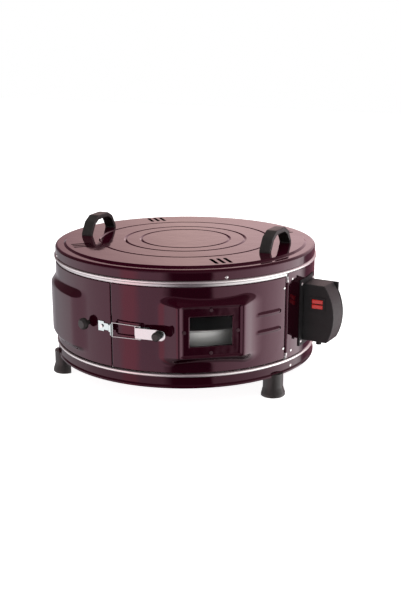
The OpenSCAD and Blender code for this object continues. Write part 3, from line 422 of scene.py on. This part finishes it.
# Left door: the same enamelled sheet, mirrored, with one plain raised panel pressed into it. The panel's
# sides slope down to the drum's curve, and the same pair of beads stands beside its hinge.
panel_start = (12.8, 22.0)
panel_end = (51.5, 60.5)
panel_foot = (-63.5, -50.5)
panel_head = (33.0, 51.0)
panel_h = 9.0


def left_door_radius(az, up):
    """Radius of the left door's outer face."""
    along = soft_step(az, *panel_start) * (1 - soft_step(az, *panel_end))
    across = soft_step(up, *panel_foot) * (1 - soft_step(up, *panel_head))
    return door_r + max(panel_h * along * across, bead_out(az, up))


left_sheet = pressed_sheet(
    "left_door_sheet",
    steps([seam_az, hinge_az], az_step),
    steps([-door_half_h, door_half_h], up_step),
    left_door_radius, lambda az, up: True, -1, door_enamel,
)
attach(left_sheet, "left_door")
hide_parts("door_left")


# Trim rings: two half-round strips of bright rolled metal, which cover the wall's joints with the lid and the
# base pan. Fine lines run along the strip, and the sheen is soft.
def bright_metal(name, colour, rough, grain, stretch):
    """Polished metal with faint drawn lines, squeezed along one axis by stretch."""
    metal = bpy.data.materials.new(name)
    metal.use_nodes = True
    links = metal.node_tree.links
    make = metal.node_tree.nodes.new
    shader = metal.node_tree.nodes["Principled BSDF"]
    place = make("ShaderNodeTexCoord")
    squeeze = make("ShaderNodeMapping")
    squeeze.inputs["Scale"].default_value = stretch
    lines = make("ShaderNodeTexNoise")
    lines.inputs["Scale"].default_value = grain
    lines.inputs["Detail"].default_value = 4
    gloss = make("ShaderNodeMapRange")
    gloss.inputs["To Min"].default_value = rough * 0.7
    gloss.inputs["To Max"].default_value = rough * 1.4
    tone = make("ShaderNodeValToRGB")
    tone.color_ramp.elements[0].position = 0.3
    tone.color_ramp.elements[0].color = [c * 0.86 for c in colour] + [1]
    tone.color_ramp.elements[1].position = 0.7
    tone.color_ramp.elements[1].color = list(colour) + [1]
    bump = make("ShaderNodeBump")
    bump.inputs["Strength"].default_value = 0.06
    bump.inputs["Distance"].default_value = 0.0005
    links.new(place.outputs["Object"], squeeze.inputs["Vector"])
    links.new(squeeze.outputs["Vector"], lines.inputs["Vector"])
    links.new(lines.outputs["Fac"], gloss.inputs["Value"])
    links.new(lines.outputs["Fac"], tone.inputs["Fac"])
    links.new(lines.outputs["Fac"], bump.inputs["Height"])
    links.new(gloss.outputs["Result"], shader.inputs["Roughness"])
    links.new(tone.outputs["Color"], shader.inputs["Base Color"])
    links.new(bump.outputs["Normal"], shader.inputs["Normal"])
    shader.inputs["Metallic"].default_value = 1
    return metal


trim_metal = bright_metal("trim_metal", (0.86, 0.85, 0.83), rough=0.36, grain=300, stretch=(1, 1, 12))
dress(["lower_trim_ring", "upper_trim_ring"], trim_metal)

# Screws and rivets: plated steel with domed heads, in the wall, lid, base pan, hinge leaves and control box.
# One node tree puts a head and its shank where the model has one, and each group is one plain mesh. A size
# here is the head's radius, its height and the shank's radius.
rivet_size = (0.0030, 0.0014, 0.0016)
screw_size = (0.0032, 0.0018, 0.0017)
box_screw_size = (0.0030, 0.0016, 0.0017)
shortest_shank = 0.002
weld_gap = 1e-6


def fixing_tree():
    """Puts a domed head of given radius and height, with a shank, along the direction kept on each point."""
    tree = bpy.data.node_groups.new("fixings", "GeometryNodeTree")
    face = tree.interface.new_socket
    face("Geometry", in_out="INPUT", socket_type="NodeSocketGeometry")
    for label in ("Head Radius", "Head Height", "Shank Radius", "Shank Length"):
        face(label, in_out="INPUT", socket_type="NodeSocketFloat")
    face("Material", in_out="INPUT", socket_type="NodeSocketMaterial")
    face("Geometry", in_out="OUTPUT", socket_type="NodeSocketGeometry")
    make = tree.nodes.new
    link = tree.links.new
    given = make("NodeGroupInput")
    made = make("NodeGroupOutput")
    ball = make("GeometryNodeMeshUVSphere")
    ball.inputs["Segments"].default_value = 24
    ball.inputs["Rings"].default_value = 16
    ball.inputs["Radius"].default_value = 1
    size = make("ShaderNodeCombineXYZ")
    dome = make("GeometryNodeTransform")
    shank = make("GeometryNodeMeshCylinder")
    shank.inputs["Vertices"].default_value = 20
    half = make("ShaderNodeMath")
    half.operation = "MULTIPLY"
    half.inputs[1].default_value = -0.5
    drop = make("ShaderNodeCombineXYZ")
    sunk = make("GeometryNodeTransform")
    both = make("GeometryNodeJoinGeometry")
    smooth = make("GeometryNodeSetShadeSmooth")
    out = make("GeometryNodeInputNamedAttribute")
    out.data_type = "FLOAT_VECTOR"
    out.inputs["Name"].default_value = "out"
    aim = make("FunctionNodeAlignRotationToVector")
    aim.axis = "Z"
    put = make("GeometryNodeInstanceOnPoints")
    real = make("GeometryNodeRealizeInstances")
    paint = make("GeometryNodeSetMaterial")
    for side in ("X", "Y"):
        link(given.outputs["Head Radius"], size.inputs[side])
    link(given.outputs["Head Height"], size.inputs["Z"])
    link(ball.outputs["Mesh"], dome.inputs["Geometry"])
    link(size.outputs["Vector"], dome.inputs["Scale"])
    link(given.outputs["Shank Radius"], shank.inputs["Radius"])
    link(given.outputs["Shank Length"], shank.inputs["Depth"])
    link(given.outputs["Shank Length"], half.inputs[0])
    link(half.outputs["Value"], drop.inputs["Z"])
    link(shank.outputs["Mesh"], sunk.inputs["Geometry"])
    link(drop.outputs["Vector"], sunk.inputs["Translation"])
    link(dome.outputs["Geometry"], both.inputs["Geometry"])
    link(sunk.outputs["Geometry"], both.inputs["Geometry"])
    link(both.outputs["Geometry"], smooth.inputs["Geometry"])
    link(given.outputs["Geometry"], put.inputs["Points"])
    link(smooth.outputs["Geometry"], put.inputs["Instance"])
    link(out.outputs["Attribute"], aim.inputs["Vector"])
    link(aim.outputs["Rotation"], put.inputs["Rotation"])
    link(put.outputs["Instances"], real.inputs["Geometry"])
    link(real.outputs["Geometry"], paint.inputs["Geometry"])
    link(given.outputs["Material"], paint.inputs["Material"])
    link(paint.outputs["Geometry"], made.inputs["Geometry"])
    return tree


def grow(piece, tree, given):
    """Runs a node tree on a piece with the given inputs, and keeps the plain mesh that it makes."""
    modifier = piece.modifiers.new(tree.name, "NODES")
    modifier.node_group = tree
    for socket in tree.interface.items_tree:
        if socket.in_out == "INPUT" and socket.name in given:
            modifier[socket.identifier] = given[socket.name]
    return settle(piece)


def separate_solids(node):
    """Corner points of each loose solid in a carried-over node, in the frame."""
    welded = bmesh.new()
    welded.from_mesh(node.data)
    bmesh.ops.remove_doubles(welded, verts=welded.verts, dist=weld_gap)
    left = set(welded.verts)
    solids = []
    while left:
        edge = [left.pop()]
        solid = []
        while edge:
            vert = edge.pop()
            solid.append(node.matrix_world @ vert.co)
            for other in (e.other_vert(vert) for e in vert.link_edges):
                if other in left:
                    left.discard(other)
                    edge.append(other)
        solids.append(solid)
    welded.free()
    return solids


def fixings(name, body, node_names, size):
    """Heads on the outer ends of the named fixings, facing away from the drum's axis, in one mesh."""
    radius, height, shank_radius = size
    spots = []
    ways = []
    length = shortest_shank
    for node_name in node_names:
        for solid in separate_solids(nodes[node_name]):
            middle = sum(solid, Vector()) / len(solid)
            way = Vector((middle.x - axis.x, middle.y - axis.y, 0)).normalized()
            reach = [way.dot(corner - middle) for corner in solid]
            spots.append(middle + way * (max(reach) - height))
            ways.append(way)
            length = max(length, max(reach) - min(reach) - height)
    mesh = bpy.data.meshes.new(name)
    mesh.from_pydata(spots, [], [])
    kept = mesh.attributes.new("out", "FLOAT_VECTOR", "POINT")
    kept.data.foreach_set("vector", [c for way in ways for c in way])
    heads = bpy.data.objects.new(name, mesh)
    bpy.context.scene.collection.objects.link(heads)
    grow(heads, head_tree, {
        "Head Radius": radius,
        "Head Height": height,
        "Shank Radius": shank_radius,
        "Shank Length": length,
        "Material": head_metal,
    })
    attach(heads, body)
    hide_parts(*node_names)


head_tree = fixing_tree()
head_metal = bright_metal("fixing_metal", (0.80, 0.80, 0.78), rough=0.3, grain=900, stretch=(1, 1, 1))
fixings("wall_rivet_heads", "drum", ["wall_rivets"], rivet_size)
fixings("drum_screw_heads", "drum", ["base_screws", "lid_screws"], screw_size)
fixings("box_screw_heads", "drum", ["box_screws"], box_screw_size)
fixings("right_hinge_rivet_heads", "right_door", ["hinge_rivets_right"], rivet_size)
fixings("left_hinge_rivet_heads", "left_door", ["hinge_rivets_left"], rivet_size)
dress(["handle_screws", "foot_screws", "latch_rivets", "keeper_rivet"], head_metal)

# Window screws: four small screws through the window box's face, which hold the glass and its frame behind
# it. They are steel, blackened to go with the enamel.
black_fixing = bright_metal("black_fixing", (0.10, 0.06, 0.07), rough=0.3, grain=900, stretch=(1, 1, 1))
dress(["window_screws"], black_fixing)

# Draw latch and wire rack: the latch's base, pin, lever, loop and keeper, and the rack's wires, are steel,
# cut and bent to shape and then plated bright. Faint drawing lines show in the plating.
plated_steel = bright_metal("plated_steel", (0.60, 0.70, 0.68), rough=0.2, grain=500, stretch=(1, 1, 9))
dress(["latch_base", "latch_pin", "latch_lever", "latch_loop", "latch_keeper", "wire_rack"], plated_steel)

# Frame inside: hoops, plates, hinge posts, eyes and pins, element clips and the window's frame. They are
# plain steel, a little dull, and carry the drum's sheets, the doors and the heaters.
frame_steel = bright_metal("frame_steel", (0.62, 0.62, 0.61), rough=0.32, grain=200, stretch=(1, 1, 6))
dress(["lower_hoop", "upper_hoop", "floor_plate", "roof_plate"], frame_steel)
dress(["element_clips", "window_frame"], frame_steel)
for side in ("right", "left"):
    dress(["hinge_post_" + side, "hinge_eyes_" + side, "hinge_pin_" + side], frame_steel)

# Heaters: two bent steel tubes, one low and one high in the drum, held by clips and led out through the
# wall. Heat has left them dark and dull, with an uneven scale.
heater_tube = bright_metal("heater_tube", (0.24, 0.225, 0.22), rough=0.5, grain=140, stretch=(1, 1, 1))
dress(["lower_element", "upper_element"], heater_tube)

# Baking tray: a round pan spun from aluminium sheet, which lies loose on the wire rack. It is satin, with
# fine turning marks round it.
tray_metal = bright_metal("tray_metal", (0.78, 0.78, 0.76), rough=0.5, grain=260, stretch=(1, 1, 14))
dress(["baking_tray"], tray_metal)

# Lamp for the picture: a narrow strip of light inside the right door, below the window, which shows the tray
# through the glass. The camera doesn't see it, and the real oven has none.
lamp_data = bpy.data.lights.new("inside", "AREA")
lamp_data.shape = "RECTANGLE"
lamp_data.size = 0.07
lamp_data.size_y = 0.008
lamp_data.energy = 0.009
lamp_r = 0.233
lamp_z = 0.104
lamp_lift = 0.4
lamp = bpy.data.objects.new("inside", lamp_data)
window_way = Vector((math.sin(math.radians(window_az)), -math.cos(math.radians(window_az)), 0))
lamp.location = axis + window_way * lamp_r + Vector((0, 0, lamp_z))
lamp.rotation_euler = Vector((-window_way.x, -window_way.y, lamp_lift)).to_track_quat("-Z", "Y").to_euler()
lamp.visible_camera = False
bpy.context.scene.collection.objects.link(lamp)

# Feet and knobs: black plastic mouldings with eased edges, the feet screwed under the base pan, one knob on
# the left door and one on the latch's lever. The surface has a fine grain and a slightly uneven gloss.
eased_edge = 0.0012
sharp_angle = math.radians(32)
flat_angle = math.radians(1)


def moulded(name, colour, rough, grain, depth):
    """Moulded plastic with a grain of given fineness and depth."""
    plastic = bpy.data.materials.new(name)
    plastic.use_nodes = True
    links = plastic.node_tree.links
    make = plastic.node_tree.nodes.new
    shader = plastic.node_tree.nodes["Principled BSDF"]
    place = make("ShaderNodeTexCoord")
    fine = make("ShaderNodeTexNoise")
    fine.inputs["Scale"].default_value = grain
    fine.inputs["Detail"].default_value = 2
    broad = make("ShaderNodeTexNoise")
    broad.inputs["Scale"].default_value = 40
    gloss = make("ShaderNodeMapRange")
    gloss.inputs["To Min"].default_value = rough * 0.85
    gloss.inputs["To Max"].default_value = rough * 1.2
    tone = make("ShaderNodeValToRGB")
    tone.color_ramp.elements[0].position = 0.3
    tone.color_ramp.elements[0].color = [c * 0.8 for c in colour] + [1]
    tone.color_ramp.elements[1].position = 0.75
    tone.color_ramp.elements[1].color = [c * 1.15 for c in colour] + [1]
    bump = make("ShaderNodeBump")
    bump.inputs["Strength"].default_value = depth
    bump.inputs["Distance"].default_value = 0.0004
    for texture in (fine, broad):
        links.new(place.outputs["Object"], texture.inputs["Vector"])
    links.new(fine.outputs["Fac"], bump.inputs["Height"])
    links.new(broad.outputs["Fac"], gloss.inputs["Value"])
    links.new(broad.outputs["Fac"], tone.inputs["Fac"])
    links.new(gloss.outputs["Result"], shader.inputs["Roughness"])
    links.new(tone.outputs["Color"], shader.inputs["Base Color"])
    links.new(bump.outputs["Normal"], shader.inputs["Normal"])
    return plastic


def softened(name, width, paint):
    """A copy of a carried-over node with its sharp edges rounded, standing where the node is."""
    source = nodes[name]
    work = bmesh.new()
    work.from_mesh(source.data)
    bmesh.ops.remove_doubles(work, verts=work.verts, dist=weld_gap)
    bmesh.ops.dissolve_limit(work, angle_limit=flat_angle, verts=work.verts, edges=work.edges)
    sharp = [e for e in work.edges if len(e.link_faces) == 2 and e.calc_face_angle() > sharp_angle]
    bmesh.ops.bevel(
        work, geom=sharp, offset=width, segments=3, profile=0.5, affect="EDGES", clamp_overlap=True,
    )
    for face in work.faces:
        face.smooth = True
    mesh = bpy.data.meshes.new(name + "_soft")
    work.to_mesh(mesh)
    work.free()
    mesh.materials.append(paint)
    piece = bpy.data.objects.new(name + "_soft", mesh)
    bpy.context.scene.collection.objects.link(piece)
    piece.matrix_world = source.matrix_world
    piece.modifiers.new("normals", "WEIGHTED_NORMAL")
    settle(piece)
    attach(piece, next(body for body, empty in frame["bodies"].items() if empty == source.parent))
    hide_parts(name)


black_plastic = moulded("black_plastic", (0.034, 0.031, 0.029), rough=0.42, grain=2500, depth=0.15)
for name in ["foot_right", "foot_left", "foot_rear", "lever_knob", "door_knob"]:
    softened(name, eased_edge, black_plastic)

# Handles: two arched straps of moulded black plastic, screwed to the lid. A node tree rounds the bends of a
# path, given in millimetres along and above the lid, and sweeps a strap with eased edges along it.
handle_r = 0.180
handle_azs = {"handle_right": 94.0, "handle_left": 278.5}
handle_half = [(47.4, 0.0), (47.4, 3.0), (35.2, 21.8), (19.0, 30.0)]
handle_path = [(-x, y) for x, y in handle_half] + handle_half[::-1]
handle_crease = math.radians(28)


def strap_tree():
    """Sweeps a strap of given width, thickness and edge along the given path, with rounded bends."""
    tree = bpy.data.node_groups.new("strap", "GeometryNodeTree")
    face = tree.interface.new_socket
    face("Geometry", in_out="INPUT", socket_type="NodeSocketGeometry")
    for label in ("Width", "Thickness", "Edge", "Bend"):
        face(label, in_out="INPUT", socket_type="NodeSocketFloat")
    face("Material", in_out="INPUT", socket_type="NodeSocketMaterial")
    face("Geometry", in_out="OUTPUT", socket_type="NodeSocketGeometry")
    make = tree.nodes.new
    link = tree.links.new
    given = make("NodeGroupInput")
    made = make("NodeGroupOutput")
    line = make("GeometryNodeMeshToCurve")
    bends = make("GeometryNodeFilletCurve")
    section = make("GeometryNodeCurvePrimitiveQuadrilateral")
    corners = make("GeometryNodeFilletCurve")
    sweep = make("GeometryNodeCurveToMesh")
    sweep.inputs["Fill Caps"].default_value = True
    real = make("GeometryNodeRealizeInstances")
    paint = make("GeometryNodeSetMaterial")
    for node, count in ((bends, 6), (corners, 4)):
        node.mode = "POLY"
        node.inputs["Count"].default_value = count
    link(given.outputs["Geometry"], line.inputs["Mesh"])
    link(line.outputs["Curve"], bends.inputs["Curve"])
    link(given.outputs["Bend"], bends.inputs["Radius"])
    link(given.outputs["Thickness"], section.inputs["Width"])
    link(given.outputs["Width"], section.inputs["Height"])
    link(section.outputs["Curve"], corners.inputs["Curve"])
    link(given.outputs["Edge"], corners.inputs["Radius"])
    link(bends.outputs["Curve"], sweep.inputs["Curve"])
    link(corners.outputs["Curve"], sweep.inputs["Profile Curve"])
    link(sweep.outputs["Mesh"], real.inputs["Geometry"])
    link(real.outputs["Geometry"], paint.inputs["Geometry"])
    link(given.outputs["Material"], paint.inputs["Material"])
    link(paint.outputs["Geometry"], made.inputs["Geometry"])
    return tree


handle_tree = strap_tree()
for node_name, az in handle_azs.items():
    mesh = bpy.data.meshes.new(node_name + "_strap")
    path_edges = [(k, k + 1) for k in range(len(handle_path) - 1)]
    mesh.from_pydata([(x * mm, y * mm, 0) for x, y in handle_path], path_edges, [])
    strap = bpy.data.objects.new(node_name + "_strap", mesh)
    bpy.context.scene.collection.objects.link(strap)
    plain = grow(strap, handle_tree, {
        "Width": 0.020,
        "Thickness": 0.0088,
        "Edge": 0.0016,
        "Bend": 0.005,
        "Material": black_plastic,
    })
    turn_az = math.radians(az)
    along = Vector((math.cos(turn_az), math.sin(turn_az), 0))
    outward = Vector((math.sin(turn_az), -math.cos(turn_az), 0))
    foot = axis + outward * handle_r
    foot.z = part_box(node_name)[0][2]
    plain.transform(Matrix((
        (along.x, 0, outward.x, foot.x),
        (along.y, 0, outward.y, foot.y),
        (0, 1, 0, foot.z),
        (0, 0, 0, 1),
    )))
    plain.set_sharp_from_angle(angle=handle_crease)
    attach(strap, "drum")
    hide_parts(node_name)

# Control box: a flange screwed to the wall, a grained housing against it with a black panel in front and a
# block behind, the switch's body and a gland in the underside. All are moulded plastic, the panel, housing
# and block with eased edges.
panel_edge = 0.0008
housing_edge = 0.0025
panel_plastic = moulded("panel_plastic", (0.030, 0.030, 0.031), rough=0.5, grain=2500, depth=0.1)
panel_plastic.node_tree.nodes["Principled BSDF"].inputs["Specular IOR Level"].default_value = 0.25
grey_plastic = moulded("grey_plastic", (0.034, 0.032, 0.031), rough=0.5, grain=1800, depth=0.3)
softened("box_panel", panel_edge, panel_plastic)
softened("box_rear_block", eased_edge, panel_plastic)
dress(["box_flange", "switch_body", "cord_gland"], panel_plastic)
softened("box_housing", housing_edge, grey_plastic)

# Red rockers: two glossy red plastic caps, one above the other in the panel, each on its own pivot in the
# switch. They glow a little, which is painted light: no lamp is behind them, and the glow brightens their
# red.
rocker_edge = 0.0009
red_cap = moulded("red_cap", (0.42, 0.006, 0.006), rough=0.14, grain=400, depth=0.02)
red_shader = red_cap.node_tree.nodes["Principled BSDF"]
# Painted glow: the emission lifts the caps' red, though no lamp is behind them.
red_shader.inputs["Emission Color"].default_value = (1.0, 0.05, 0.03, 1)
red_shader.inputs["Emission Strength"].default_value = 0.22
for name in ["rocker_upper", "rocker_lower"]:
    softened(name, rocker_edge, red_cap)

# Window seal, element bushes and terminal block: a matt black rubber frame at the glass, and unglazed white
# ceramic where the heaters' ends pass through the wall and are joined.
seal_rubber = moulded("seal_rubber", (0.006, 0.004, 0.005), rough=0.8, grain=1500, depth=0.2)
ceramic = moulded("ceramic", (0.72, 0.69, 0.63), rough=0.65, grain=1200, depth=0.2)
dress(["window_seal"], seal_rubber)
dress(["element_bushes", "terminal_block"], ceramic)

# Window glass: a flat pane, held behind the window box's opening by the seal and the frame. It is clear,
# faintly grey and a little uneven.
pane = moulded("clear_glass", (0.06, 0.065, 0.065), rough=0.04, grain=90, depth=0.01)
pane.node_tree.nodes["Principled BSDF"].inputs["Alpha"].default_value = 0.22
dress(["window_glass"], pane)
